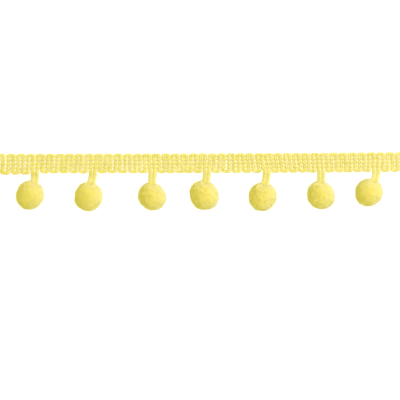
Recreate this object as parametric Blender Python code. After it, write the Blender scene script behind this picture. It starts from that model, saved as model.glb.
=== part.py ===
# Pompom garland: a knitted braid with scalloped edges and sheared yarn pompoms, each hung on a
# loop of the braid's own weft. It lies face up on a flat surface.
# Metres. +X runs along the braid, +Y towards its plain edge, +Z up from the surface.
# The origin is on the braid's flat back, under its centre line beside the middle pompom's loop.
import math

import bmesh
import bpy
from mathutils import Quaternion, Vector

MM = 0.001

# Braid. A scallop is one turn of the weft at an edge, so it spans two weft courses.
SCALLOP_PITCH = 3.5 * MM
SCALLOPS_PER_POMPOM = 6
END_SCALLOP = 23  # the braid is cut this many scallops either side of the middle pompom
HALF_WIDTH = 3.2 * MM  # centre line to the valleys between scallops
SCALLOP_RISE = 0.55 * MM
THICKNESS = 1.8 * MM
COURSE_FURROW = 0.36 * MM  # depth between two weft courses
CHAIN_FURROW = 0.22 * MM  # depth where a row of chain stitches draws the weft down
EDGE_DROP = 0.55 * MM  # how far the face rounds down at the edges
CHAIN_ROWS = (-0.68, -0.23, 0.23, 0.68)  # shares of the half width
CHAIN_REACH = 0.2  # how far either side of its row a chain draws the weft down, same shares
SHOULDER = 0.9  # where the face starts to round down, same shares
EDGE_POWER = 8  # how tightly it rounds
STEPS_PER_SCALLOP = 4  # furrow, course, furrow, course

# How the braid lies: a slight tilt and bow, courses drawn together a little towards both ends and
# unevenly along its length, and a flare of the lower edge at the left end.
TILT = 0.004  # rise over run
BOW = 0.03 / (1000 * MM)
COURSE_SQUEEZE = 1.0 * MM
COURSE_DRIFT = 0.41 * MM
DRIFT_SCALLOPS = 21  # half of the drift's wave
FLARE = 0.5 * MM
FLARE_START = -60 * MM
FLARE_RUN = 8 * MM

# Weft loops that carry the pompoms
LOOP_YARN = 1.3 * MM  # diameter of one leg
LOOP_ROOT_SPREAD = 1.75 * MM  # between the legs' centres at the braid
LOOP_TIP_SPREAD = 1.5 * MM
LOOP_ROOT_HEIGHT = 0.95 * MM
LEG_STEPS = 8
TURN_STEPS = 4
SEAT_GAP = 0.3 * MM  # between a loop and what holds it

SHARP_ANGLE = math.radians(40)

# Pompoms: sheared balls of four-sided locks that stand out from a tied core
CORE_SHARE = 0.55  # core's radius over the ball's
LOCK_GAP = 0.3 * MM  # between two locks at the ball's surface
LOCK_RISE = 0.05 * MM  # how unevenly the locks are cut
LUMP = 0.1 * MM  # unevenness of the shearing over the whole ball
FLAT_SPOT = 0.16 * MM  # how far the resting side is pressed in
NOTCH_RADIUS = 2.2 * MM  # the parting where the loop enters
NOTCH_DEPTH = 1.15 * MM
NOTCH_PITCH = math.radians(20)  # above level, seen from the ball's centre
TIP_DEPTH = 0.68 * MM  # how far the loop's end lies under the ball's round

# One row for each pompom, left to right.
# slant: how far the lower edge has slid along the braid there, mm
# lean: ball's centre from its loop's root, along the braid, mm
# drop: ball's centre below the braid's centre line, mm
# size: ball's mean diameter, mm
# stretch: how far its longest radius exceeds the mean, mm
# axis: that radius's direction, degrees anticlockwise from +X in plan
# notch: parting's direction, degrees clockwise from +Y in plan
POMPOM_COLUMNS = ("slant", "lean", "drop", "size", "stretch", "axis", "notch")
POMPOM_ROWS = (
    (-0.3, -1.65, 11.65, 10.6, 0.14, 58, 22),
    (-0.6, -1.4, 12.2, 10.6, 0.14, 60, 11),
    (0.35, -0.1, 12.25, 10.3, 0.24, 137, -1),
    (-0.4, -1.0, 11.9, 10.9, 0.23, 129, 7),
    (1.1, -1.55, 12.5, 10.5, 0.14, 64, 10),
    (0.6, -0.2, 12.05, 10.5, 0.23, 119, -1),
    (0.1, -2.95, 11.2, 10.4, 0.13, 36, 25),
)

# Flats that the shears left. pompom counts from 0; heading is degrees anticlockwise from +X in
# plan; pitch is degrees above level; reach is the flat's distance from the centre in radii.
FACET_COLUMNS = ("pompom", "heading", "pitch", "reach")
FACET_ROWS = (
    (0, 160, 10, 0.94), (0, -61, -5, 0.96), (0, 13, 5, 0.94), (0, 60, 60, 0.96),
    (1, 208, 0, 0.965), (1, 262, 10, 0.97), (1, 50, 5, 0.96), (1, 150, 55, 0.96),
    (2, 36, 5, 0.955), (2, -68, -5, 0.965), (2, 190, 50, 0.95),
    (3, 177, -5, 0.955), (3, -79, 5, 0.91), (3, 10, 0, 0.955), (3, 20, 50, 0.96),
    (4, 208, 5, 0.965), (4, 132, 10, 0.985), (4, 250, 60, 0.95),
    (5, 256, 0, 0.955), (5, -72, 5, 0.935), (5, 50, 5, 0.905), (5, 195, 55, 0.96),
    (6, 241, 5, 0.96), (6, -59, 0, 0.95), (6, 179, 5, 0.92), (6, 90, 55, 0.96),
)

POMPOMS = [dict(zip(POMPOM_COLUMNS, row)) for row in POMPOM_ROWS]
FACETS = [dict(zip(FACET_COLUMNS, row)) for row in FACET_ROWS]
MIDDLE_POMPOM = len(POMPOMS) // 2


def smooth_step(share):
    share = min(1.0, max(0.0, share))
    return share * share * (3 - 2 * share)


def new_collection(name):
    collection = bpy.data.collections.new(name)
    bpy.context.scene.collection.children.link(collection)
    return collection


def yarn_material(name, colour, roughness):
    material = bpy.data.materials.new(name)
    material.use_nodes = True
    shader = material.node_tree.nodes["Principled BSDF"]
    shader.inputs["Base Color"].default_value = (*colour, 1)
    shader.inputs["Roughness"].default_value = roughness
    shader.inputs["Metallic"].default_value = 0
    return material


def add_mesh(name, bm, material, collection, location=(0, 0, 0)):
    mesh = bpy.data.meshes.new(name)
    bm.to_mesh(mesh)
    bm.free()
    mesh.materials.append(material)
    mesh.shade_smooth()
    mesh.set_sharp_from_angle(angle=SHARP_ANGLE)
    thing = bpy.data.objects.new(name, mesh)
    thing.location = location
    collection.objects.link(thing)
    return thing


def slant_at(scallop):
    """How far the lower edge has slid along the braid, eased from one pompom to the next."""
    place = scallop / SCALLOPS_PER_POMPOM + MIDDLE_POMPOM
    place = min(len(POMPOMS) - 1.0, max(0.0, place))
    left = min(int(place), len(POMPOMS) - 2)
    share = smooth_step(place - left)
    return MM * (POMPOMS[left]["slant"] * (1 - share) + POMPOMS[left + 1]["slant"] * share)


def course_x(scallop):
    """Place along the upper edge, counted in scallops from the middle pompom."""
    turn = math.pi * scallop / DRIFT_SCALLOPS
    squeeze = COURSE_SQUEEZE * (1 - math.cos(turn / 2))
    return SCALLOP_PITCH * scallop - squeeze - COURSE_DRIFT * math.sin(turn)


def centre_y(x):
    return TILT * x + BOW * x * x


def scallop_share(scallop, lower_edge):
    """0 in a valley, 1 on a scallop's tip. Lower tips stand at whole scallops, upper ones halfway."""
    if lower_edge and is_loop(scallop):
        return 0.0
    return abs(math.cos(math.pi * (scallop if lower_edge else scallop + 0.5)))


def is_loop(scallop):
    """True where the weft leaves the lower edge as a pompom's loop, and so makes no scallop."""
    nearest = round(scallop / SCALLOPS_PER_POMPOM)
    on_braid = abs(nearest) <= MIDDLE_POMPOM
    return on_braid and abs(scallop - nearest * SCALLOPS_PER_POMPOM) < 0.5


def edge_y(scallop, x, lower_edge):
    reach = HALF_WIDTH + SCALLOP_RISE * scallop_share(scallop, lower_edge)
    if lower_edge:
        flare = FLARE * smooth_step((FLARE_START - x) / FLARE_RUN)
        return centre_y(x) - reach - flare
    return centre_y(x) + reach


def braid_point(scallop, across):
    """Plan position for a place along the braid and a share across it, -1 lower to 1 upper."""
    end = abs(scallop) > END_SCALLOP - 1e-6
    slide = slant_at(scallop) * (0.5 if end else (1 - across) / 2)
    x = course_x(scallop) + slide
    low = edge_y(scallop, x, lower_edge=True)
    high = edge_y(scallop, x, lower_edge=False)
    return x, low + (high - low) * (across + 1) / 2


def face_height(scallop, across):
    """Height of the braid's face: weft courses side by side, drawn down by the chain rows."""
    furrow = 0.5 + 0.5 * math.cos(4 * math.pi * scallop)
    rounding = abs(across) ** EDGE_POWER
    chain = max(smooth_step(1 - abs(across - row) / CHAIN_REACH) for row in CHAIN_ROWS)
    cut = COURSE_FURROW * furrow * (1 - rounding) + CHAIN_FURROW * chain
    return THICKNESS - cut - EDGE_DROP * rounding


def rows_across():
    """Shares across the braid: both edges and shoulders, each chain row, and the pillows between."""
    pillows = [(row + following) / 2 for row, following in zip(CHAIN_ROWS, CHAIN_ROWS[1:])]
    return sorted([-1.0, -SHOULDER, *CHAIN_ROWS, *pillows, SHOULDER, 1.0])


def make_braid(material, collection):
    """One solid with its courses and chain rows raised on its face, and one flat face as its back."""
    rows = rows_across()
    columns = 2 * END_SCALLOP * STEPS_PER_SCALLOP
    bm = bmesh.new()
    bmesh.ops.create_grid(bm, x_segments=columns, y_segments=len(rows) - 1, size=0.5)
    for vert in bm.verts:
        scallop = 2 * END_SCALLOP * vert.co.x
        across = rows[round((vert.co.y + 0.5) * (len(rows) - 1))]
        vert.co = (*braid_point(scallop, across), face_height(scallop, across))
    back = bmesh.ops.extrude_face_region(bm, geom=bm.faces[:])["geom"]
    for vert in [item for item in back if isinstance(item, bmesh.types.BMVert)]:
        vert.co.z = 0
    bmesh.ops.dissolve_faces(bm, faces=[item for item in back if isinstance(item, bmesh.types.BMFace)])
    bmesh.ops.recalc_face_normals(bm, faces=bm.faces)
    return add_mesh("braid", bm, material, collection)


def loop_root(index):
    """Where a pompom's loop leaves the braid: the middle of its two legs, at the seat gap."""
    scallop = (index - MIDDLE_POMPOM) * SCALLOPS_PER_POMPOM
    x, y = braid_point(scallop, -1)
    return Vector((x, y - SEAT_GAP, LOOP_ROOT_HEIGHT))


def ball_centre(index):
    row = POMPOMS[index]
    root = loop_root(index)
    x = root.x + row["lean"] * MM
    return Vector((x, centre_y(x) - row["drop"] * MM, row["size"] * MM / 2 - FLAT_SPOT))


def notch_direction(index):
    """Unit vector from the ball's centre out through the parting that its loop enters."""
    turn = math.radians(POMPOMS[index]["notch"])
    level = math.cos(NOTCH_PITCH)
    return Vector((math.sin(turn) * level, math.cos(turn) * level, math.sin(NOTCH_PITCH)))


def bezier(points, share):
    rest = 1 - share
    weights = (rest**3, 3 * rest**2 * share, 3 * rest * share**2, share**3)
    return sum((point * weight for point, weight in zip(points, weights)), Vector())


def loop_path(index):
    """Centre line of the yarn: out along one leg, round inside the parting, back along the other."""
    inward = -notch_direction(index)
    radius = POMPOMS[index]["size"] * MM / 2
    turn_reach = LOOP_TIP_SPREAD / 2 + LOOP_YARN / 2
    turn_centre = ball_centre(index) - inward * (radius - TIP_DEPTH + turn_reach)
    root = loop_root(index)
    spine = (
        root,
        root + Vector((0, -1.8 * MM, 0.3 * MM)),
        turn_centre - inward * 1.3 * MM,
        turn_centre,
    )
    root_side = Vector((1, 0, 0))
    tip_side = inward.cross(Vector((0, 0, 1))).normalized()
    tip_side *= math.copysign(1, tip_side.x)
    leg = []
    for step in range(LEG_STEPS):
        share = step / LEG_STEPS
        spread = LOOP_ROOT_SPREAD * (1 - share) + LOOP_TIP_SPREAD * share
        side = root_side.lerp(tip_side, share).normalized()
        leg.append((bezier(spine, share), side * spread / 2))
    turn = []
    for step in range(TURN_STEPS + 1):
        angle = math.pi * step / TURN_STEPS
        swing = -tip_side * math.cos(angle) + inward * math.sin(angle)
        turn.append(turn_centre + swing * LOOP_TIP_SPREAD / 2)
    left = [middle - side for middle, side in leg]
    right = [middle + side for middle, side in reversed(leg)]
    return left + turn + right


def make_loop(index, material, collection):
    curve = bpy.data.curves.new(f"loop_{index + 1}", "CURVE")
    curve.dimensions = "3D"
    curve.bevel_depth = LOOP_YARN / 2
    curve.bevel_resolution = 2
    curve.use_fill_caps = True
    root = loop_root(index)
    path = loop_path(index)
    spline = curve.splines.new("POLY")
    spline.points.add(len(path) - 1)
    for point, place in zip(spline.points, path):
        point.co = (*(place - root), 1)
    curve.materials.append(material)
    loop = bpy.data.objects.new(curve.name, curve)
    loop.location = root
    collection.objects.link(loop)
    return loop


def plan_vector(heading, pitch):
    heading, pitch = math.radians(heading), math.radians(pitch)
    level = math.cos(pitch)
    return Vector((math.cos(heading) * level, math.sin(heading) * level, math.sin(pitch)))


def facet_limit(direction, facets):
    """Distance to the nearest shorn flat in radii, rounded off towards the sphere."""
    reach = 1.0
    for row in facets:
        facing = direction.dot(plan_vector(row["heading"], row["pitch"]))
        if facing > row["reach"]:
            share = smooth_step((facing - row["reach"]) / (1 - row["reach"]))
            reach = min(reach, 1 - share * (1 - row["reach"] / facing))
    return reach


def ball_radius(direction, index, facets):
    """Distance from the ball's centre to its shorn surface."""
    row = POMPOMS[index]
    radius = row["size"] * MM / 2
    x, y, z = direction
    axis = math.radians(row["axis"])
    along = x * math.cos(axis) + y * math.sin(axis)
    stretch = row["stretch"] * MM * (2 * along * along - x * x - y * y)
    waves = math.sin(3 * x + index) + math.sin(4 * y - 2 * index) + math.sin(3.5 * z + 0.7 * index)
    away = direction.angle(notch_direction(index)) * radius / NOTCH_RADIUS
    notch = NOTCH_DEPTH * (1 - away * away) ** 2 if away < 1 else 0.0
    return radius * facet_limit(direction, facets) + stretch + LUMP * waves / 3 - notch


def core_patches(radius):
    """A round core in four-sided patches, one over each edge of an icosahedron, each cut in four."""
    solid = bmesh.new()
    bmesh.ops.create_icosphere(solid, subdivisions=1, radius=1)
    bm = bmesh.new()
    number = bm.faces.layers.int.new("patch")
    for count, edge in enumerate(solid.edges):
        first, second = (face.calc_center_median() for face in edge.link_faces)
        corners = (edge.verts[0].co, first, edge.verts[1].co, second)
        patch = bm.faces.new([bm.verts.new(corner.normalized()) for corner in corners])
        patch[number] = count
    patches = [[] for edge in solid.edges]
    solid.free()
    bmesh.ops.remove_doubles(bm, verts=bm.verts, dist=0.0001)
    bmesh.ops.recalc_face_normals(bm, faces=bm.faces)
    bmesh.ops.subdivide_edges(bm, edges=bm.edges[:], cuts=1, use_grid_fill=True)
    for vert in bm.verts:
        vert.co = vert.co.normalized() * radius
    for face in bm.faces:
        patches[face[number]].append(face)
    return bm, patches


def make_pompom(index, material, collection):
    """A ball of locks whose pole faces its loop, with a pressed spot where it rests."""
    centre = ball_centre(index)
    turn = Vector((0, 0, 1)).rotation_difference(notch_direction(index)) @ Quaternion((0, 0, 1), index)
    facets = [row for row in FACETS if row["pompom"] == index]
    bm, patches = core_patches(CORE_SHARE * POMPOMS[index]["size"] * MM / 2)
    inset = CORE_SHARE * LOCK_GAP / 2
    for count, patch in enumerate(patches):
        bmesh.ops.inset_region(bm, faces=patch, thickness=inset, use_even_offset=True)
        raised = bmesh.ops.extrude_face_region(bm, geom=patch)["geom"]
        bmesh.ops.delete(bm, geom=patch, context="FACES")
        for vert in [item for item in raised if isinstance(item, bmesh.types.BMVert)]:
            local = vert.co.normalized()
            rise = LOCK_RISE * math.sin(7 * count + index)
            vert.co = local * (ball_radius(turn @ local, index, facets) + rise)
    for vert in bm.verts:
        vert.co = turn @ vert.co
        vert.co.z = max(vert.co.z, -centre.z)
    return add_mesh(f"pompom_{index + 1}", bm, material, collection, centre)


def main():
    """Clear the scene, then make the braid and each pompom with its loop."""
    for thing in list(bpy.data.objects):
        bpy.data.objects.remove(thing)
    collection = new_collection("pompom_garland")
    braid_yarn = yarn_material("braid_yarn", (0.93, 0.82, 0.25), 0.8)
    pompom_yarn = yarn_material("pompom_yarn", (0.84, 0.72, 0.16), 0.95)
    make_braid(braid_yarn, collection)
    for index in range(len(POMPOMS)):
        make_loop(index, braid_yarn, collection)
        make_pompom(index, pompom_yarn, collection)


main()
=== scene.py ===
import math
import random

import bmesh
import bpy
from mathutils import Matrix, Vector
from mathutils.kdtree import KDTree


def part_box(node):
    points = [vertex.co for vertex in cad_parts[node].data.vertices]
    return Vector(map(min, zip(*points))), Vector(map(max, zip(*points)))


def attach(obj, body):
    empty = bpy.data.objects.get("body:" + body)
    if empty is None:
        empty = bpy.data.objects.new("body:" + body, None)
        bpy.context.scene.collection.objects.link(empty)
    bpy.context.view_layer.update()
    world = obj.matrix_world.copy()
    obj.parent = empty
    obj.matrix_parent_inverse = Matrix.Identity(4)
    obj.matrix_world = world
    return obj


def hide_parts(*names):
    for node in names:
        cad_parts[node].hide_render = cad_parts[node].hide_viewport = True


# Pompom trim laid flat: a crochet-knitted braid, whose soft weft also makes the loops that hold
# the sheared pompoms. Metres; +X runs along the braid and +Z out of its face.
mm = 0.001
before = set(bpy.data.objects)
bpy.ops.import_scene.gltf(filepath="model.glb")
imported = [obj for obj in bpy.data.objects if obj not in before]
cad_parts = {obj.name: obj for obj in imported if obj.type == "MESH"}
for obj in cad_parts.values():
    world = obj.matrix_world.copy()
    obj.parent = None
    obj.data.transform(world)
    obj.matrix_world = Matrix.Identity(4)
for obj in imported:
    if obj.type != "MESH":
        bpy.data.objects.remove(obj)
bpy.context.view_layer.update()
print("frame loaded")


def hexColour(code):
    channels = [int(code[place:place + 2], 16) / 255 for place in (0, 2, 4)]
    linear = [c / 12.92 if c <= 0.04045 else ((c + 0.055) / 1.055) ** 2.4 for c in channels]
    return (*linear, 1)


def mix(first, second, share):
    return first + (second - first) * share


# Adds a node with its settings. Sockets are linked, a node stands for its first output, and the
# rest are plain values.
def addNode(tree, kind, inputs=None, **settings):
    node = tree.nodes.new(kind)
    for name, value in settings.items():
        setattr(node, name, value)
    for name, value in (inputs or {}).items():
        if isinstance(value, bpy.types.Node):
            value = value.outputs[0]
        if isinstance(value, bpy.types.NodeSocket):
            tree.links.new(value, node.inputs[name])
        else:
            node.inputs[name].default_value = value
    return node


# A tree with one Geometry input, the named inputs that are given, and one Geometry output.
def newTree(name, sockets):
    tree = bpy.data.node_groups.new(name, "GeometryNodeTree")
    tree.interface.new_socket("Geometry", in_out="INPUT", socket_type="NodeSocketGeometry")
    for label, kind in sockets.items():
        tree.interface.new_socket(label, in_out="INPUT", socket_type="NodeSocket" + kind)
    tree.interface.new_socket("Geometry", in_out="OUTPUT", socket_type="NodeSocketGeometry")
    return tree, addNode(tree, "NodeGroupInput").outputs


# Realizes what the tree made, gives it its material and closes the tree.
def finishTree(tree, geometry, material):
    real = addNode(tree, "GeometryNodeRealizeInstances", {"Geometry": geometry})
    smooth = addNode(tree, "GeometryNodeSetShadeSmooth", {"Geometry": real})
    dressed = addNode(tree, "GeometryNodeSetMaterial", {"Geometry": smooth, "Material": material})
    addNode(tree, "NodeGroupOutput", {"Geometry": dressed})


# Runs a tree on a guide curve or mesh and keeps the result as a plain mesh object. The tree's inputs
# are named as the values are.
def growMesh(name, guide, tree, values):
    source = bpy.data.objects.new(name + "Guide", guide)
    bpy.context.scene.collection.objects.link(source)
    modifier = source.modifiers.new("grow", "NODES")
    modifier.node_group = tree
    for item in tree.interface.items_tree:
        if item.in_out == "INPUT" and item.name != "Geometry":
            modifier[item.identifier] = values[item.name]
    evaluated = source.evaluated_get(bpy.context.evaluated_depsgraph_get())
    mesh = bpy.data.meshes.new_from_object(evaluated)
    source.modifiers.remove(modifier)
    bpy.data.objects.remove(source)
    mesh.name = name
    piece = bpy.data.objects.new(name, mesh)
    bpy.context.scene.collection.objects.link(piece)
    triangles = sum(len(face.vertices) - 2 for face in mesh.polygons)
    print(name, "made of", triangles, "triangles")
    return piece


# Gives a piece its body, and has it stand for its solids.
def dress(piece, slotName, *nodes):
    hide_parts(*nodes)
    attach(piece, "root")


# How the braid lies is read off its solid's flat back. Its edges have a point every quarter scallop.
lie = {
    "endScallop": 23,  # scallops from the middle pompom to each cut end
    "stepsPerScallop": 4,
    "valleyReach": 3.2 * mm,  # centre line to the valleys between scallops, where it lies even
    "scallopsPerPompom": 6,
    "tolerance": 0.01 * mm,  # within which a vertex lies on the back, or in line with another
}


# The outermost points along one edge of the back: side is 1 for the upper edge, -1 for the lower.
def edgePoints(side):
    points = {}
    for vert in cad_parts["braid"].data.vertices:
        if vert.co.z < lie["tolerance"] and vert.co.y * side > 0:
            column = round(vert.co.x / lie["tolerance"])
            held = points.get(column)
            if held is None or vert.co.y * side > held.y * side:
                points[column] = vert.co.copy()
    line = [points[column] for column in sorted(points)]
    # The edge is straight where a loop leaves it, and the points that this drops are filled in.
    evenStep = (line[-1].x - line[0].x) / (2 * lie["endScallop"] * lie["stepsPerScallop"])
    filled = line[:1]
    for point in line[1:]:
        last = filled[-1]
        steps = round((point.x - last.x) / evenStep)
        filled += [last.lerp(point, step / steps) for step in range(1, steps + 1)]
    return filled


edges = {side: edgePoints(side) for side in (-1, 1)}


# Place on the line through an edge's valleys, from scallops to the right of the middle pompom.
def edgePlace(side, scallop):
    line = edges[side]
    along = (scallop + lie["endScallop"]) * lie["stepsPerScallop"]
    step = min(max(int(along), 0), len(line) - 2)
    x = mix(line[step].x, line[step + 1].x, along - step)
    # The valleys stand at whole scallops on the upper edge and halfway on the lower one.
    phase = 0 if side > 0 else 0.5
    valley = math.floor(scallop - phase) + phase
    heights = []
    for place in (valley, valley + 1):
        index = round((place + lie["endScallop"]) * lie["stepsPerScallop"])
        heights.append(line[min(max(index, 0), len(line) - 1)].y)
    return Vector((x, mix(heights[0], heights[1], scallop - valley)))


# Place on the braid from scallops along it and metres across it, as if it lay straight and even.
def laidPlace(scallop, across, height):
    low = edgePlace(-1, scallop)
    high = edgePlace(1, scallop)
    place = low.lerp(high, (across / lie["valleyReach"] + 1) / 2)
    return Vector((place.x, place.y, height))


weft = {
    "strands": 7,
    "strandRadius": 0.3 * mm,
    "halfWidth": 0.72 * mm,  # of the ring of strands, across the course
    "halfHeight": 0.38 * mm,
    "twistPitch": 9 * mm,
    "sides": 5,
    "keptThickness": 0.62,  # what a strand keeps of its thickness, however tight the bundle is
    "waver": 0.05 * mm,
    "waverPitch": 1.1 * mm,
    "seed": 3,
    "height": 0.8 * mm,  # the bundle's centre above the back
    "turnStart": 2.3 * mm,  # across the braid, where a course starts to turn back
    "turnDepth": 0.75 * mm,
    "turnWidth": 1.26,  # of half the way between two courses
    "unevenPlace": 0.02,  # how far a course strays along the braid, in scallops
    "unevenFullness": 0.04,
    "unevenSeed": 5,
    "loopFullness": 0.85,
    "loopLean": 0.14,  # the most that a loop's two courses lean together
    "loopPinch": 0.6,  # the least fullness that the stitches draw them in to
    "loopPoints": 15,  # along each leg of a loop
    "rootSpread": 1.5 * mm,  # between a loop's legs, at the braid
    "rootRun": (0, -1.8 * mm, 0.3 * mm),  # the way that a loop leaves the braid
    "tipSpread": 1.3 * mm,
    "tipRun": 2 * mm,  # its straight stretch before the pompom
    "ballDepth": 1.6 * mm,  # how deep it goes into the pompom
    "ballTurn": 0.6 * mm,  # how much further its turn reaches
    "patchSize": 2.5 * mm,  # of the yarn's paler and deeper stretches
    "fibreWidth": 0.16 * mm,  # eight times the real fibre's, which would be too fine to show
    "fibreRelief": 0.05 * mm,
}
# One weft course from the braid's centre line out: metres across, lean towards the scallop's tip as
# a share of the way, fullness of the bundle. It is drawn in at each row of chain stitches, where a
# hole opens between two courses, and turns back round the edge needle.
courseStations = [
    (0, 0, 1.08), (0.29 * mm, 0, 1.0), (0.5 * mm, 0, 0.42), (1.02 * mm, 0, 0.42), (1.21 * mm, 0, 1.0),
    (1.45 * mm, 0, 1.08), (1.68 * mm, 0.1, 0.95), (1.9 * mm, 0.3, 0.4), (2.2 * mm, 0.32, 0.36),
    (2.38 * mm, 0.06, 0.8),
]
for degrees, fullness in ((24, 1.05), (42, 0.95), (59, 0.8), (75, 0.64), (90, 0.56)):
    turn = math.radians(degrees)
    across = weft["turnStart"] + weft["turnDepth"] * math.sin(turn)
    lean = 1 - weft["turnWidth"] * math.cos(turn)
    courseStations.append((across, lean, fullness))


def pompomScallops():
    reach = lie["endScallop"] // lie["scallopsPerPompom"]
    return [lie["scallopsPerPompom"] * place for place in range(-reach, reach + 1)]


# Place on a curve between the first and the last of four points.
def bezierPlace(points, share):
    rest = 1 - share
    weights = (rest ** 3, 3 * rest ** 2 * share, 3 * rest * share ** 2, share ** 3)
    return sum((point * weight for point, weight in zip(points, weights)), Vector())


# Where a loop leaves the braid, where it meets its pompom, and the pompom's middle.
def loopFacts(number):
    rootDepth = 0.25 * mm  # the solid's vertices this near its upper end give the root
    tipVertices = 12  # and this many of them, the nearest to the pompom, give the tip
    points = [vert.co.copy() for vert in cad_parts[f"loop_{number}"].data.vertices]
    low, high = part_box(f"pompom_{number}")
    middle = (low + high) / 2
    top = max(point.y for point in points)
    ends = [point for point in points if point.y > top - rootDepth]
    root = sum(ends, Vector()) / len(ends)
    nearest = sorted(points, key=lambda point: (point - middle).length)[:tipVertices]
    tip = sum(nearest, Vector()) / len(nearest)
    return {"root": root, "tip": tip, "middle": middle, "inward": (middle - tip).normalized()}


loops = {}
for number, scallop in enumerate(pompomScallops(), start=1):
    loops[scallop] = loopFacts(number)


# A loop from its left leg's root, down into the pompom and back up the right leg.
def loopRoute(facts):
    inward = facts["inward"]
    end = facts["tip"] + inward * weft["ballDepth"]
    spine = (
        facts["root"],
        facts["root"] + Vector(weft["rootRun"]),
        facts["tip"] - inward * weft["tipRun"],
        end,
    )
    rootSide = Vector((1, 0, 0))
    tipSide = inward.cross(Vector((0, 0, 1))).normalized()
    tipSide *= math.copysign(1, tipSide.x)
    leg = []
    for step in range(weft["loopPoints"]):
        share = step / (weft["loopPoints"] - 1)
        spread = mix(weft["rootSpread"], weft["tipSpread"], share)
        side = rootSide.lerp(tipSide, share).normalized() * spread / 2
        leg.append((bezierPlace(spine, share), side))
    route = [middle - side for middle, side in leg]
    route.append(end + inward * weft["ballTurn"])
    route += [middle + side for middle, side in reversed(leg)]
    return [(point, weft["loopFullness"]) for point in route]


# The weft's whole way: up one course and down the next, and round a loop wherever a pompom hangs.
def weftRoute():
    chance = random.Random(weft["unevenSeed"])
    edgeTip = courseStations[-1][0]
    route = []
    for course in range(4 * lie["endScallop"]):
        goesUp = course % 2 == 0
        # Two courses make a scallop, and stand a quarter of it to each side of its tip.
        scallop = -lie["endScallop"] + 0.25 + course / 2
        lowerTip = round(scallop)
        upperTip = round(scallop - 0.5) + 0.5
        scallop += weft["unevenPlace"] * chance.uniform(-1, 1)
        plump = 1 + weft["unevenFullness"] * chance.uniform(-1, 1)
        leg = []
        for across, lean, fullness in reversed(courseStations):
            if lowerTip in loops:
                # The course runs straight out of the braid into the loop.
                if across > weft["turnStart"]:
                    continue
                lean = min(lean, weft["loopLean"])
                fullness = max(fullness, weft["loopPinch"])
            elif across == edgeTip and goesUp and course > 0:
                continue  # the course before this one has made the turn
            place = laidPlace(mix(scallop, lowerTip, lean), -across, weft["height"])
            leg.append((place, fullness * plump))
        for across, lean, fullness in courseStations[1:]:
            if across == edgeTip and not goesUp:
                continue
            place = laidPlace(mix(scallop, upperTip, lean), across, weft["height"])
            leg.append((place, fullness * plump))
        if goesUp:
            route += leg
        else:
            route += reversed(leg)
            if lowerTip in loops:
                route += loopRoute(loops[lowerTip])
    return route


# A curve along each route's places, whose radius is the fullness there.
def guideCurve(name, routes):
    curve = bpy.data.curves.new(name, "CURVE")
    curve.dimensions = "3D"
    for route in routes:
        spline = curve.splines.new("POLY")
        spline.points.add(len(route) - 1)
        for point, (place, fullness) in zip(spline.points, route):
            point.co = (*place, 1)
            point.radius = fullness
    return curve


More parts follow.
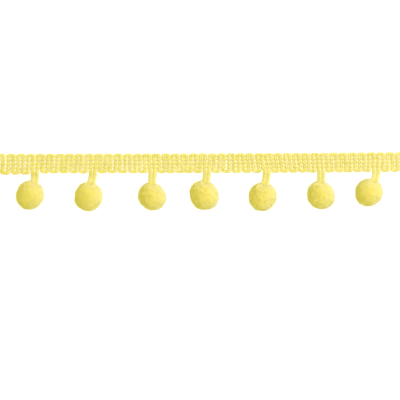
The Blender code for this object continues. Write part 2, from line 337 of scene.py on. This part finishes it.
def bundleTree(material):
    tree, given = newTree("twistedBundle", {
        "strands": "Int", "strandRadius": "Float", "halfWidth": "Float", "halfHeight": "Float",
        "twistPitch": "Float", "sides": "Int", "keptThickness": "Float", "waver": "Float",
        "waverPitch": "Float", "seed": "Int",
    })
    upright = addNode(tree, "GeometryNodeSetCurveNormal", {"Curve": given["Geometry"]}, mode="Z_UP")
    copies = addNode(tree, "GeometryNodeDuplicateElements", {
        "Geometry": upright, "Amount": given["strands"]}, domain="SPLINE")
    strand = copies.outputs["Duplicate Index"]
    fullness = addNode(tree, "GeometryNodeInputRadius")
    # Strand 0 is the heart of the bundle, and the rest stand in a ring round it.
    inRing = addNode(tree, "ShaderNodeMath", {0: strand, 1: 1.0}, operation="MINIMUM")
    ringCount = addNode(tree, "ShaderNodeMath", {0: given["strands"], 1: 1.0}, operation="SUBTRACT")
    ringShare = addNode(tree, "ShaderNodeMath", {0: strand, 1: ringCount}, operation="DIVIDE")
    length = addNode(tree, "GeometryNodeSplineParameter").outputs["Length"]
    twist = addNode(tree, "ShaderNodeMath", {0: length, 1: given["twistPitch"]}, operation="DIVIDE")
    turns = addNode(tree, "ShaderNodeMath", {0: ringShare, 1: twist})
    angle = addNode(tree, "ShaderNodeMath", {0: turns, 1: math.tau}, operation="MULTIPLY")
    cosine = addNode(tree, "ShaderNodeMath", {0: angle}, operation="COSINE")
    sine = addNode(tree, "ShaderNodeMath", {0: angle}, operation="SINE")
    sideways = addNode(tree, "ShaderNodeMath", {0: cosine, 1: given["halfWidth"]}, operation="MULTIPLY")
    upwards = addNode(tree, "ShaderNodeMath", {0: sine, 1: given["halfHeight"]}, operation="MULTIPLY")
    normal = addNode(tree, "GeometryNodeInputNormal")
    tangent = addNode(tree, "GeometryNodeInputTangent")
    up = addNode(tree, "ShaderNodeVectorMath", {0: normal, 1: tangent}, operation="CROSS_PRODUCT")
    across = addNode(tree, "ShaderNodeVectorMath", {0: normal, "Scale": sideways}, operation="SCALE")
    raised = addNode(tree, "ShaderNodeVectorMath", {0: up, "Scale": upwards}, operation="SCALE")
    ring = addNode(tree, "ShaderNodeVectorMath", {0: across, 1: raised})
    spread = addNode(tree, "ShaderNodeMath", {0: fullness, 1: inRing}, operation="MULTIPLY")
    ring = addNode(tree, "ShaderNodeVectorMath", {0: ring, "Scale": spread}, operation="SCALE")
    # No two strands lie quite alike. Noise strays about a quarter from its middle value.
    ownNoise = addNode(tree, "ShaderNodeMath", {0: strand, 1: given["seed"]})
    waverScale = addNode(tree, "ShaderNodeMath", {0: 1.0, 1: given["waverPitch"]}, operation="DIVIDE")
    noise = addNode(tree, "ShaderNodeTexNoise", {
        "W": ownNoise, "Scale": waverScale, "Detail": 1.0}, noise_dimensions="4D")
    centred = addNode(tree, "ShaderNodeVectorMath", {
        0: noise.outputs["Color"], 1: (0.5, 0.5, 0.5)}, operation="SUBTRACT")
    reach = addNode(tree, "ShaderNodeMath", {0: given["waver"], 1: 0.25}, operation="DIVIDE")
    waver = addNode(tree, "ShaderNodeVectorMath", {0: centred, "Scale": reach}, operation="SCALE")
    offset = addNode(tree, "ShaderNodeVectorMath", {0: ring, 1: waver})
    laid = addNode(tree, "GeometryNodeSetPosition", {"Geometry": copies, "Offset": offset})
    # The fullness is kept for the yarn's material, which paints shade where the bundle is drawn in.
    laid = addNode(tree, "GeometryNodeStoreNamedAttribute", {
        "Geometry": laid, "Name": "fullness", "Value": fullness})
    # A strand keeps most of its thickness where the bundle is drawn in.
    thickness = addNode(tree, "ShaderNodeMapRange", {"Value": fullness, "To Min": given["keptThickness"]})
    radius = addNode(tree, "ShaderNodeMath", {
        0: thickness, 1: given["strandRadius"]}, operation="MULTIPLY")
    profile = addNode(tree, "GeometryNodeCurvePrimitiveCircle", {
        "Resolution": given["sides"], "Radius": 1.0})
    tube = addNode(tree, "GeometryNodeCurveToMesh", {
        "Curve": laid, "Profile Curve": profile, "Scale": radius, "Fill Caps": True})
    finishTree(tree, tube, material)
    return tree


def makeWeft(material):
    guide = guideCurve("weftRoute", [weftRoute()])
    piece = growMesh("weftYarn", guide, bundleTree(material), weft)
    dress(piece, "braid_yarn", "braid", *[f"loop_{number}" for number in range(1, len(loops) + 1)])


chain = {
    "rows": (-2.15 * mm, -0.76 * mm, 0.76 * mm, 2.15 * mm),
    "pitch": 1.75 * mm,
    "yarnRadius": 0.07 * mm,
    "sides": 5,
    "stitchPoints": 16,  # round each stitch
    "backHeight": 0.34 * mm,  # of the yarn that runs behind each row
    "unevenness": 0.05,  # of the stitches' sizes
    "seed": 11,
    "patchSize": 1.4 * mm,  # of the yarn's paler and deeper stretches
}
# Along the row, in pitches, then across it and height, in millimetres: a teardrop that starts low
# between two courses, passes over one of them and ends on the next stitch's start.
stitchShape = (
    (-0.12, 0, 0.7), (0.12, 0.04, 0.9), (0.48, 0.14, 1.22), (0.85, 0.07, 1.03), (1.04, 0, 0.8),
    (0.85, -0.07, 1.03), (0.48, -0.14, 1.22), (0.12, -0.04, 0.9),
)


def stitchLoop():
    curve = bpy.data.curves.new("stitchLoop", "CURVE")
    curve.dimensions = "3D"
    spline = curve.splines.new("BEZIER")
    spline.bezier_points.add(len(stitchShape) - 1)
    for point, (along, across, height) in zip(spline.bezier_points, stitchShape):
        point.co = (along * chain["pitch"], across * mm, height * mm)
        point.handle_left_type = point.handle_right_type = "AUTO"
    spline.use_cyclic_u = True
    return bpy.data.objects.new("stitchLoop", curve)


def chainTree(material):
    tree, given = newTree("chainRows", {
        "stitch": "Object", "stitchPoints": "Int", "yarnRadius": "Float", "sides": "Int",
        "backHeight": "Float", "unevenness": "Float", "seed": "Int",
    })
    profile = addNode(tree, "GeometryNodeCurvePrimitiveCircle", {
        "Resolution": given["sides"], "Radius": 1.0})
    shape = addNode(tree, "GeometryNodeObjectInfo", {"Object": given["stitch"]}).outputs["Geometry"]
    stitch = addNode(tree, "GeometryNodeResampleCurve", {"Curve": shape, "Count": given["stitchPoints"]})
    stitch = addNode(tree, "GeometryNodeCurveToMesh", {
        "Curve": stitch, "Profile Curve": profile, "Scale": given["yarnRadius"]})
    upright = addNode(tree, "GeometryNodeSetCurveNormal", {"Curve": given["Geometry"]}, mode="Z_UP")
    places = addNode(tree, "GeometryNodeCurveToPoints", {"Curve": upright}, mode="EVALUATED")
    facing = addNode(tree, "FunctionNodeAlignRotationToVector", {
        "Vector": places.outputs["Tangent"]}, axis="X")
    odd = addNode(tree, "FunctionNodeRandomValue", {
        0: (-1, -1, -1), 1: (1, 1, 1), "Seed": given["seed"]}, data_type="FLOAT_VECTOR")
    odd = addNode(tree, "ShaderNodeVectorMath", {0: odd, "Scale": given["unevenness"]}, operation="SCALE")
    size = addNode(tree, "ShaderNodeVectorMath", {0: odd, 1: (1, 1, 1)})
    row = addNode(tree, "GeometryNodeInstanceOnPoints", {
        "Points": places, "Instance": stitch, "Rotation": facing, "Scale": size})
    lift = addNode(tree, "ShaderNodeCombineXYZ", {"Z": given["backHeight"]})
    back = addNode(tree, "GeometryNodeSetPosition", {"Geometry": given["Geometry"], "Offset": lift})
    back = addNode(tree, "GeometryNodeCurveToMesh", {
        "Curve": back, "Profile Curve": profile, "Scale": given["yarnRadius"], "Fill Caps": True})
    both = addNode(tree, "GeometryNodeJoinGeometry")
    for part in (row, back):
        tree.links.new(part.outputs[0], both.inputs[0])
    finishTree(tree, both, material)
    return tree


def makeChains(material):
    stitches = 4 * lie["endScallop"]  # one over each course
    rows = [[(laidPlace(-lie["endScallop"] + stitch / 2, across, 0), 1) for stitch in range(stitches)]
            for across in chain["rows"]]
    guide = guideCurve("chainRows", rows)
    piece = growMesh("chainStitches", guide, chainTree(material), {**chain, "stitch": stitchLoop()})
    dress(piece, "braid_yarn", "braid")


pompom = {
    "roundness": 5,  # subdivisions of the ball that the shears left
    "lockEnds": 0.7,  # share of the longest lock past which the solid's vertices are ends of locks
    "lockReach": 0.14,  # how far round, in radii, a lock's end shapes the ball
    "beyondLocks": -0.04 * mm,  # from the locks' ends to the tips of the pile
    "coreDepth": 0.3 * mm,
    "fibreLength": 0.9 * mm,
    "fibreRoot": 0.055 * mm,
    "fibreTip": 0.046 * mm,
    "density": 26e6,  # fibres a square metre
    "cutUnevenness": 0.06 * mm,
    "stray": 0.22,  # lean of each fibre, share of its length
    "clump": 0.5,  # lean that neighbours share
    "tuftPitch": 1.5 * mm,
    "lumpRise": 0.18 * mm,  # how unevenly the shears went round
    "lumpPitch": 1.5 * mm,
    "fuzzDensity": 16e6,  # loose fibres a square metre
    "fuzzLength": 1.1 * mm,
    "fuzzRoot": 0.024 * mm,
    "fuzzRise": 0.75 * mm,  # how far a loose fibre stands out of the pile, at most
    "fuzzLeastRise": 0.4,  # share of that by which each of them does
    "fuzzStray": 0.9,  # lean of each loose fibre, share of its length
}


# The ball's shorn outline follows its solid: a round skin laid over the ends of the locks.
def shornBall(number, facts):
    middle = facts["middle"]
    spokes = {tuple(round(part, 6) for part in vert.co - middle)
              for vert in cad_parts[f"pompom_{number}"].data.vertices}
    spokes = [Vector(spoke) for spoke in spokes]
    longest = max(spoke.length for spoke in spokes)
    ends = [spoke for spoke in spokes if spoke.length > pompom["lockEnds"] * longest]
    nearby = KDTree(len(ends))
    for index, end in enumerate(ends):
        nearby.insert(end.normalized(), index)
    nearby.balance()
    ball = bmesh.new()
    bmesh.ops.create_icosphere(ball, subdivisions=pompom["roundness"], radius=1)
    for vert in ball.verts:
        total = weights = 0
        for _, index, away in nearby.find_range(vert.co, 3 * pompom["lockReach"]):
            weight = math.exp(-(away / pompom["lockReach"]) ** 2)
            total += weight * ends[index].length
            weights += weight
        vert.co = middle + vert.co.normalized() * (total / weights + pompom["beyondLocks"])
        vert.co.z = max(vert.co.z, 0.0)
    mesh = bpy.data.meshes.new("shornBall")
    ball.to_mesh(mesh)
    ball.free()
    return mesh


# The ball with the lumps that uneven shearing left.
def lumpyBall(tree, given):
    lumpScale = addNode(tree, "ShaderNodeMath", {0: 1.0, 1: given["lumpPitch"]}, operation="DIVIDE")
    noise = addNode(tree, "ShaderNodeTexNoise", {
        "W": given["seed"], "Scale": lumpScale, "Detail": 1.0}, noise_dimensions="4D")
    # Noise keeps mostly between 0.3 and 0.7, which is spread over the whole rise and fall.
    lumps = addNode(tree, "ShaderNodeMapRange", {
        "Value": noise, "From Min": 0.3, "From Max": 0.7, "To Min": -1.0, "To Max": 1.0})
    lumps = addNode(tree, "ShaderNodeMath", {0: lumps, 1: given["lumpRise"]}, operation="MULTIPLY")
    normal = addNode(tree, "GeometryNodeInputNormal")
    lumps = addNode(tree, "ShaderNodeVectorMath", {0: normal, "Scale": lumps}, operation="SCALE")
    return addNode(tree, "GeometryNodeSetPosition", {"Geometry": given["Geometry"], "Offset": lumps})


# Cut fibres whose tips make the shorn surface. They lean together in tufts, and each strays a
# little on its own.
def shornFibres(tree, given, ball):
    points = addNode(tree, "GeometryNodeDistributePointsOnFaces", {
        "Mesh": ball, "Density": given["density"], "Seed": given["seed"]})
    tuftScale = addNode(tree, "ShaderNodeMath", {0: 1.0, 1: given["tuftPitch"]}, operation="DIVIDE")
    noise = addNode(tree, "ShaderNodeTexNoise", {
        "W": given["seed"], "Scale": tuftScale, "Detail": 1.5}, noise_dimensions="4D")
    tuft = addNode(tree, "ShaderNodeVectorMath", {
        0: noise.outputs["Color"], 1: (0.5, 0.5, 0.5)}, operation="SUBTRACT")
    tuft = addNode(tree, "ShaderNodeVectorMath", {0: tuft, "Scale": given["clump"]}, operation="SCALE")
    stray = addNode(tree, "FunctionNodeRandomValue", {
        0: (-1, -1, -1), 1: (1, 1, 1), "Seed": given["seed"]}, data_type="FLOAT_VECTOR")
    stray = addNode(tree, "ShaderNodeVectorMath", {0: stray, "Scale": given["stray"]}, operation="SCALE")
    lean = addNode(tree, "ShaderNodeVectorMath", {0: tuft, 1: stray})
    lean = addNode(tree, "ShaderNodeVectorMath", {0: lean, 1: points.outputs["Normal"]})
    facing = addNode(tree, "FunctionNodeAlignRotationToVector", {"Vector": lean}, axis="Z")
    # The tip is the cone's origin, so it stays on the shorn surface.
    fibre = addNode(tree, "GeometryNodeMeshCone", {
        "Vertices": 3, "Radius Top": given["fibreTip"], "Radius Bottom": given["fibreRoot"],
        "Depth": given["fibreLength"]}, fill_type="NGON")
    # How far towards its tip a point of the fibre lies, for the pile's painted shade at the roots.
    position = addNode(tree, "GeometryNodeInputPosition")
    height = addNode(tree, "ShaderNodeSeparateXYZ", {"Vector": position}).outputs["Z"]
    height = addNode(tree, "ShaderNodeMath", {0: height, 1: given["fibreLength"]}, operation="DIVIDE")
    fibre = addNode(tree, "GeometryNodeStoreNamedAttribute", {
        "Geometry": fibre, "Name": "towardsTip", "Value": height})
    depth = addNode(tree, "ShaderNodeMath", {0: given["fibreLength"], 1: -1.0}, operation="MULTIPLY")
    sink = addNode(tree, "ShaderNodeCombineXYZ", {"Z": depth})
    fibre = addNode(tree, "GeometryNodeTransform", {"Geometry": fibre, "Translation": sink})
    pile = addNode(tree, "GeometryNodeInstanceOnPoints", {
        "Points": points, "Instance": fibre, "Rotation": facing})
    cut = addNode(tree, "FunctionNodeRandomValue", {
        2: -1.0, 3: 0.0, "Seed": given["seed"]}, data_type="FLOAT").outputs[1]
    cut = addNode(tree, "ShaderNodeMath", {0: cut, 1: given["cutUnevenness"]}, operation="MULTIPLY")
    cut = addNode(tree, "ShaderNodeVectorMath", {0: lean, "Scale": cut}, operation="SCALE")
    pile = addNode(tree, "GeometryNodeTranslateInstances", {
        "Instances": pile, "Translation": cut, "Local Space": False})
    tone = addNode(tree, "FunctionNodeRandomValue", {
        2: 0.0, 3: 1.0, "Seed": given["seed"]}, data_type="FLOAT").outputs[1]
    return addNode(tree, "GeometryNodeStoreNamedAttribute", {
        "Geometry": pile, "Name": "fibreTone", "Value": tone}, domain="INSTANCE")


# Loose fibres lean further and stand a little out of the shorn surface.
def looseFibres(tree, given, ball):
    points = addNode(tree, "GeometryNodeDistributePointsOnFaces", {
        "Mesh": ball, "Density": given["fuzzDensity"], "Seed": given["seed"]})
    stray = pompom["fuzzStray"]
    lean = addNode(tree, "FunctionNodeRandomValue", {
        0: (-stray, -stray, -stray), 1: (stray, stray, stray), "Seed": given["seed"]},
        data_type="FLOAT_VECTOR")
    lean = addNode(tree, "ShaderNodeVectorMath", {0: lean, 1: points.outputs["Normal"]})
    lean = addNode(tree, "ShaderNodeVectorMath", {0: lean}, operation="NORMALIZE")
    facing = addNode(tree, "FunctionNodeAlignRotationToVector", {"Vector": lean}, axis="Z")
    wisp = addNode(tree, "GeometryNodeMeshCone", {
        "Vertices": 3, "Radius Top": 0.0, "Radius Bottom": given["fuzzRoot"],
        "Depth": given["fuzzLength"]}, fill_type="NGON")
    wisp = addNode(tree, "GeometryNodeStoreNamedAttribute", {
        "Geometry": wisp, "Name": "towardsTip", "Value": 1.0})
    fuzz = addNode(tree, "GeometryNodeInstanceOnPoints", {
        "Points": points, "Instance": wisp, "Rotation": facing})
    rise = addNode(tree, "FunctionNodeRandomValue", {
        2: pompom["fuzzLeastRise"], 3: 1.0, "Seed": given["seed"]}, data_type="FLOAT").outputs[1]
    rise = addNode(tree, "ShaderNodeMath", {0: given["fuzzRise"], 1: rise}, operation="MULTIPLY")
    root = addNode(tree, "ShaderNodeMath", {0: rise, 1: given["fuzzLength"]}, operation="SUBTRACT")
    root = addNode(tree, "ShaderNodeVectorMath", {0: lean, "Scale": root}, operation="SCALE")
    fuzz = addNode(tree, "GeometryNodeTranslateInstances", {
        "Instances": fuzz, "Translation": root, "Local Space": False})
    return addNode(tree, "GeometryNodeStoreNamedAttribute", {
        "Geometry": fuzz, "Name": "fibreTone", "Value": 0.5}, domain="INSTANCE")


def pileTree(material):
    tree, given = newTree("shornPile", {
        "density": "Float", "fibreLength": "Float", "fibreRoot": "Float", "fibreTip": "Float",
        "coreDepth": "Float", "cutUnevenness": "Float", "stray": "Float", "clump": "Float",
        "fuzzDensity": "Float", "fuzzLength": "Float", "fuzzRoot": "Float", "fuzzRise": "Float",
        "lumpRise": "Float", "lumpPitch": "Float", "tuftPitch": "Float", "seed": "Int",
    })
    ball = lumpyBall(tree, given)
    # A core inside the pile closes the gaps between its fibres. Having no towardsTip value, it is
    # coloured with the pile's painted root shade.
    depth = addNode(tree, "ShaderNodeMath", {0: given["coreDepth"], 1: -1.0}, operation="MULTIPLY")
    normal = addNode(tree, "GeometryNodeInputNormal")
    inwards = addNode(tree, "ShaderNodeVectorMath", {0: normal, "Scale": depth}, operation="SCALE")
    core = addNode(tree, "GeometryNodeSetPosition", {"Geometry": ball, "Offset": inwards})
    whole = addNode(tree, "GeometryNodeJoinGeometry")
    for part in (core, shornFibres(tree, given, ball), looseFibres(tree, given, ball)):
        tree.links.new(part.outputs[0], whole.inputs[0])
    # Its weight presses the ball's underside flat on what it lies on.
    real = addNode(tree, "GeometryNodeRealizeInstances", {"Geometry": whole})
    position = addNode(tree, "GeometryNodeInputPosition")
    place = addNode(tree, "ShaderNodeSeparateXYZ", {"Vector": position}).outputs
    level = addNode(tree, "ShaderNodeMath", {0: place["Z"], 1: 0.0}, operation="MAXIMUM")
    rested = addNode(tree, "ShaderNodeCombineXYZ", {"X": place["X"], "Y": place["Y"], "Z": level})
    rested = addNode(tree, "GeometryNodeSetPosition", {"Geometry": real, "Position": rested})
    finishTree(tree, rested, material)
    return tree


def makePompoms(material):
    tree = pileTree(material)
    for number, facts in enumerate(loops.values(), start=1):
        values = {**pompom, "seed": number}
        piece = growMesh(f"pompomPile_{number}", shornBall(number, facts), tree, values)
        dress(piece, "pompom_yarn", f"pompom_{number}")


def newMaterial(name):
    material = bpy.data.materials.new(name)
    material.use_nodes = True
    tree = material.node_tree
    shader = tree.nodes["Principled BSDF"]
    return material, tree, shader


# Bulked acrylic, spun soft and dyed in the yarn: matt, with a faint halo of loose fibre. Where the
# bundle is drawn tight, its colour is painted deeper, as painted shade in the creases at the rows of
# stitches and on the scallops' turned rims.
def spunAcrylic():
    material, tree, shader = newMaterial("spunAcrylicYarn")
    place = addNode(tree, "ShaderNodeTexCoord").outputs["Object"]
    patches = addNode(tree, "ShaderNodeTexNoise", {
        "Vector": place, "Scale": 1 / weft["patchSize"], "Detail": 2.0})
    ramp = addNode(tree, "ShaderNodeValToRGB", {"Fac": patches})
    ramp.color_ramp.elements[0].position = 0.35
    ramp.color_ramp.elements[0].color = hexColour("E1D563")
    ramp.color_ramp.elements[1].position = 0.65
    ramp.color_ramp.elements[1].color = hexColour("E8DD86")
    # Painted shade: the colour goes deeper where the bundle is drawn in, at the creases and turned rims.
    fullness = addNode(tree, "ShaderNodeAttribute", attribute_name="fullness").outputs["Fac"]
    loose = addNode(tree, "ShaderNodeMapRange", {"Value": fullness, "From Min": 0.6, "From Max": 1.05})
    colour = addNode(tree, "ShaderNodeMix", {
        "Factor": loose, 6: hexColour("DACE5A"), 7: ramp}, data_type="RGBA")
    tree.links.new(colour.outputs[2], shader.inputs["Base Color"])
    fibres = addNode(tree, "ShaderNodeTexNoise", {
        "Vector": place, "Scale": 1 / weft["fibreWidth"], "Detail": 2.0})
    bump = addNode(tree, "ShaderNodeBump", {
        "Height": fibres, "Strength": 0.3, "Distance": weft["fibreRelief"]})
    tree.links.new(bump.outputs[0], shader.inputs["Normal"])
    shader.inputs["Roughness"].default_value = 0.8
    shader.inputs["Sheen Weight"].default_value = 0.3
    shader.inputs["Sheen Roughness"].default_value = 0.5
    return material


# Textured polyester filament, knitted in as the chains: a little smoother than the weft.
def filamentPolyester():
    material, tree, shader = newMaterial("filamentPolyesterYarn")
    place = addNode(tree, "ShaderNodeTexCoord").outputs["Object"]
    patches = addNode(tree, "ShaderNodeTexNoise", {
        "Vector": place, "Scale": 1 / chain["patchSize"], "Detail": 2.0})
    ramp = addNode(tree, "ShaderNodeValToRGB", {"Fac": patches})
    ramp.color_ramp.elements[0].color = hexColour("E4D974")
    ramp.color_ramp.elements[1].color = hexColour("ECE296")
    tree.links.new(ramp.outputs["Color"], shader.inputs["Base Color"])
    shader.inputs["Roughness"].default_value = 0.55
    shader.inputs["Sheen Weight"].default_value = 0.2
    return material


# Opal acrylic sheet lit softly from below: a pale floor on which hardly a shadow shows.
def litOpalAcrylic():
    material, tree, shader = newMaterial("litOpalAcrylic")
    shader.inputs["Base Color"].default_value = hexColour("7A7A78")
    shader.inputs["Roughness"].default_value = 0.8
    shader.inputs["Emission Color"].default_value = hexColour("FFFFFF")
    shader.inputs["Emission Strength"].default_value = studio["tableGlow"]
    return material


# Acrylic pile, cut and sheared to a dense velvet ball, pale at the fibres' cut ends. Each fibre is
# painted darker and deeper in colour towards its root, as painted shade between the fibres.
def shearedPile():
    material, tree, shader = newMaterial("shearedAcrylicPile")
    depth = addNode(tree, "ShaderNodeAttribute", attribute_name="towardsTip").outputs["Fac"]
    tone = addNode(tree, "ShaderNodeAttribute", attribute_name="fibreTone").outputs["Fac"]
    # Painted shade between the fibres: darker and deeper in colour from the tips down to the roots.
    deep = addNode(tree, "ShaderNodeMapRange", {"Value": depth, "From Min": 0.45, "From Max": 1.0})
    colour = addNode(tree, "ShaderNodeMix", {
        "Factor": deep, 6: hexColour("EBDD57"), 7: hexColour("F9F091")}, data_type="RGBA")
    lighter = addNode(tree, "ShaderNodeMapRange", {"Value": tone, "To Min": 0.92, "To Max": 1.06})
    varied = addNode(tree, "ShaderNodeVectorMath", {
        0: colour.outputs[2], "Scale": lighter}, operation="SCALE")
    tree.links.new(varied.outputs[0], shader.inputs["Base Color"])
    shader.inputs["Roughness"].default_value = 0.9
    shader.inputs["Sheen Weight"].default_value = 0.1
    shader.inputs["Sheen Roughness"].default_value = 0.6
    return material


studio = {
    "frameWidth": 147.9 * mm,  # of the table that the camera sees, from straight above
    "aimX": -2.95 * mm,
    "aimY": -13.63 * mm,
    "cameraHeight": 1.2,
    "sensor": 36,  # millimetres wide
    "tableSize": 6,
    "tableGlow": 1.0,
    "surround": 0.84,  # strength of the light from all round
    "surroundColour": (1.02, 1.02, 0.15, 1),  # a warm room
    # softbox: where it hangs, its width, its power in watts, its colour
    "softboxes": {
        "overhead": ((0.2, 0.2, 2.0), 1.6, 17, (1, 0.97, 1.4)),
        "side": ((0.85, 0.3, 0.75), 0.4, 7.2, (0.8, 0.8, 2.8)),  # cooler, as daylight is
    },
}


def makeStudio():
    camera = bpy.data.cameras.new("camera")
    camera.sensor_width = studio["sensor"]
    camera.lens = studio["sensor"] * studio["cameraHeight"] / studio["frameWidth"]
    holder = bpy.data.objects.new("camera", camera)
    holder.location = (studio["aimX"], studio["aimY"], studio["cameraHeight"])
    bpy.context.scene.collection.objects.link(holder)
    bpy.context.scene.camera = holder

    for name, (place, width, power, colour) in studio["softboxes"].items():
        light = bpy.data.lights.new(name + "Softbox", "AREA")
        light.energy = power
        light.size = width
        light.color = colour
        softbox = bpy.data.objects.new(name + "Softbox", light)
        softbox.location = place
        softbox.rotation_euler = Vector(place).to_track_quat("Z", "Y").to_euler()
        bpy.context.scene.collection.objects.link(softbox)

    world = bpy.data.worlds.new("softSurround")
    bpy.context.scene.world = world
    world.use_nodes = True
    world.node_tree.nodes["Background"].inputs["Color"].default_value = studio["surroundColour"]
    world.node_tree.nodes["Background"].inputs["Strength"].default_value = studio["surround"]

    bpy.ops.mesh.primitive_plane_add(size=studio["tableSize"])
    table = bpy.context.object
    table.name = "paleTable"
    table.data.materials.append(litOpalAcrylic())
    bpy.context.scene.view_settings.view_transform = "Standard"


makeStudio()
makeWeft(spunAcrylic())
makeChains(filamentPolyester())
makePompoms(shearedPile())

print("all pieces made")
